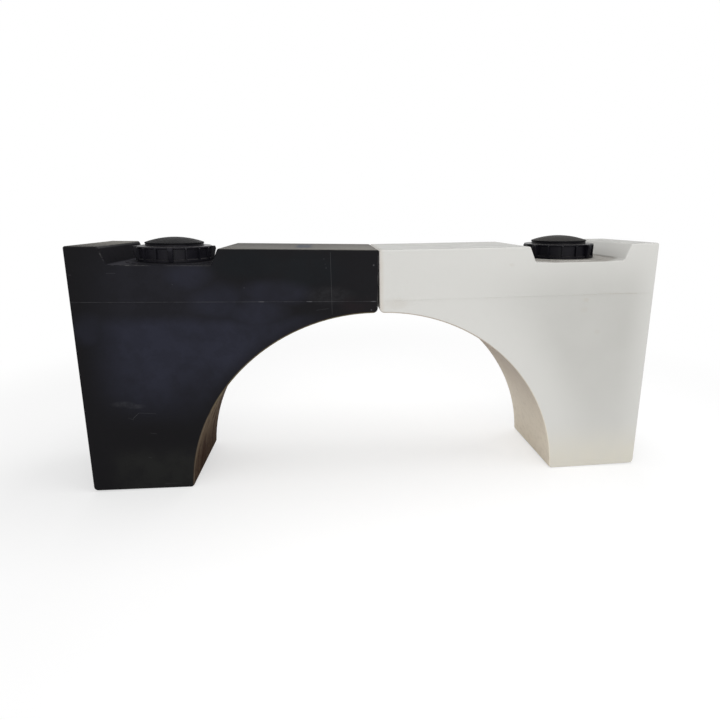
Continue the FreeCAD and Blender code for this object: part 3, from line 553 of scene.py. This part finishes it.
def moulded_plastic(name, half, colour, roughness, dust=0.0, specular=0.08):
    """A moulded plastic with a fine grain and some dust where it faces up."""
    graph = Graph(name)
    place = graph.place(half)
    nz = graph.split(graph.direction(half))[2]
    patches = graph.noise(place, 45.0, detail=4.0, roughness=0.6)
    grain = graph.noise(place, 900.0, detail=1.0, shift=2.0)
    lighter = tuple(channel * 1.3 + 0.001 for channel in colour)
    shade = graph.mix(patches.ramp(0.35, 0.70), colour, lighter)
    settled = nz.ramp(0.5, 0.95) * patches.ramp(0.25, 0.75, 0.35, 0.85) * dust
    shade = graph.mix(settled, shade, SETTLED_DUST)
    rough = patches.ramp(0.30, 0.70, roughness - 0.05, roughness + 0.07) + settled * 0.2
    relief = graph.bump(grain, 0.00004)
    return graph.principled(Base_Color=shade, Roughness=rough, Normal=relief,
                            Specular_IOR_Level=specular)


def rubber(name, half):
    """Dull black rubber with a grey bloom."""
    graph = Graph(name)
    place = graph.place(half)
    bloom = graph.noise(place, 120.0, detail=3.0)
    shade = graph.mix(bloom.ramp(0.40, 0.70), *RUBBER)
    relief = graph.bump(bloom, 0.00008)
    return graph.principled(Base_Color=shade, Roughness=bloom.ramp(0.3, 0.7, 0.70, 0.85),
                            Normal=relief)


def steel(name, half):
    """Turned steel."""
    graph = Graph(name)
    place = graph.place(half)
    turning = graph.noise(place, 700.0, detail=2.0, stretch=(1.0, 1.0, 0.2))
    shade = graph.mix(turning.ramp(0.35, 0.65), *STEEL)
    relief = graph.bump(turning, 0.00002)
    return graph.principled(Base_Color=shade, Roughness=turning.ramp(0.3, 0.7, 0.28, 0.42),
                            Normal=relief, Metallic=1.0)


def dress(node, material):
    """Give a CAD node's object its material."""
    for slot in frame["nodes"][node].material_slots:
        slot.material = material


def dress_half(half):
    """Give each piece of one half its material."""
    colour = half.colour
    tank = black_polyethylene(half) if colour == "black" else white_polyethylene(half)
    lid = moulded_plastic(colour + "_lid_plastic", half, LID_PLASTIC[colour], 0.36, dust=0.14)
    dome = moulded_plastic(colour + "_dome_plastic", half, DOME_PLASTIC, 0.55,
                           dust=DOME_DUST[colour], specular=0.03)
    screen = moulded_plastic(colour + "_screen_plastic", half, SCREEN_PLASTIC, 0.55)
    drain = moulded_plastic(colour + "_drain_plastic", half, DRAIN_PLASTIC, 0.42)
    seal = rubber(colour + "_seal_rubber", half)
    screws = steel(colour + "_screw_steel", half)
    finishes = {"tank": tank, "lid": lid, "vent_dome": dome, "vent_screen": screen,
                "vent_screws": screws, "lid_gasket": seal, "drain_bush": drain,
                "drain_plug": drain, "drain_washer": seal}
    for piece, material in finishes.items():
        dress(colour + "_" + piece, material)


# ---------------------------------------------------------------- camera, light and floor

def make_camera():
    data = bpy.data.cameras.new("camera")
    data.sensor_width = SENSOR_WIDTH
    data.lens = LENS
    data.shift_x, data.shift_y = CAMERA_SHIFT
    data.clip_end = 50.0
    camera = bpy.data.objects.new("camera", data)
    camera.location = CAMERA_PLACE
    camera.rotation_euler = (math.radians(90.0 - CAMERA_TILT), 0.0, math.radians(-CAMERA_TURN))
    bpy.context.scene.collection.objects.link(camera)
    bpy.context.scene.camera = camera


def add_lamp(name, size, power, place, target):
    """Add a soft rectangular lamp at a place, facing a target."""
    data = bpy.data.lights.new(name, "AREA")
    data.shape = "RECTANGLE"
    data.size, data.size_y = size
    data.energy = power
    lamp = bpy.data.objects.new(name, data)
    lamp.location = place
    lamp.rotation_euler = (Vector(target) - Vector(place)).to_track_quat("-Z", "Y").to_euler()
    bpy.context.scene.collection.objects.link(lamp)


def make_world():
    """Plain white surroundings: bright to the eye, and softer as a light."""
    world = bpy.data.worlds.new("world")
    bpy.context.scene.world = world
    world.use_nodes = True
    tree = world.node_tree
    tree.nodes.clear()
    path = tree.nodes.new("ShaderNodeLightPath")
    seen = tree.nodes.new("ShaderNodeMath")
    seen.operation = "MAXIMUM"
    tree.links.new(path.outputs["Is Camera Ray"], seen.inputs[0])
    through = tree.nodes.new("ShaderNodeMath")
    through.operation = "MAXIMUM"
    tree.links.new(path.outputs["Is Glossy Ray"], through.inputs[0])
    tree.links.new(path.outputs["Is Transmission Ray"], through.inputs[1])
    tree.links.new(through.outputs[0], seen.inputs[1])
    strength = tree.nodes.new("ShaderNodeMapRange")
    strength.inputs["To Min"].default_value = WORLD_LIGHT
    strength.inputs["To Max"].default_value = 1.0
    tree.links.new(seen.outputs[0], strength.inputs["Value"])
    background = tree.nodes.new("ShaderNodeBackground")
    background.inputs["Color"].default_value = (1.0, 1.0, 1.0, 1.0)
    tree.links.new(strength.outputs[0], background.inputs["Strength"])
    output = tree.nodes.new("ShaderNodeOutputWorld")
    tree.links.new(background.outputs[0], output.inputs["Surface"])


def make_floor():
    """A pale paper floor that lights the object, glows to the eye and fades to plain white."""
    mesh = bpy.data.meshes.new("floor")
    corners = [(-FLOOR_REACH, -FLOOR_REACH, 0), (FLOOR_REACH, -FLOOR_REACH, 0),
               (FLOOR_REACH, FLOOR_REACH, 0), (-FLOOR_REACH, FLOOR_REACH, 0)]
    mesh.from_pydata(corners, [], [(0, 1, 2, 3)])
    floor = bpy.data.objects.new("floor", mesh)
    bpy.context.scene.collection.objects.link(floor)
    graph = Graph("floor_paper")
    lit = graph.node("ShaderNodeBsdfDiffuse", inputs={"Color": (0.88, 0.88, 0.88, 1.0)})
    dim = graph.node("ShaderNodeBsdfDiffuse", inputs={"Color": (0.56, 0.56, 0.56, 1.0)})
    glow = graph.node("ShaderNodeEmission", inputs={"Strength": 0.53})
    seen = graph.node("ShaderNodeAddShader", inputs={0: glow, 1: dim})
    camera_ray = graph.node("ShaderNodeLightPath", output="Is Camera Ray")
    near = graph.node("ShaderNodeMixShader", inputs={0: camera_ray, 1: lit, 2: seen})
    x, y = graph.split(graph.node("ShaderNodeTexCoord", output="Object"))[:2]
    away = (x * x + y * y).root().ramp(FLOOR_WHITE_FROM, FLOOR_WHITE_AT)
    white = graph.node("ShaderNodeEmission", inputs={"Strength": 1.0})
    graph.finish(graph.node("ShaderNodeMixShader", inputs={
        0: away * camera_ray, 1: near, 2: white}))
    mesh.materials.append(graph.material)


make_camera()
add_lamp("overhead", (1.6, 1.0), 23.0, (0.4, 0.0, 2.4), (0.0, 0.0, 0.2))
add_lamp("back", (4.0, 1.2), 14.0, (0.3, 3.0, 1.6), (0.0, 0.0, 0.2))
add_lamp("front", (3.0, 1.5), 36.0, (0.4, -2.8, 1.1), (0.0, 0.0, 0.3))
make_world()
make_floor()
for half_colour in COLOURS:
    dress_half(Half(half_colour))

bpy.context.scene.view_settings.view_transform = "Standard"
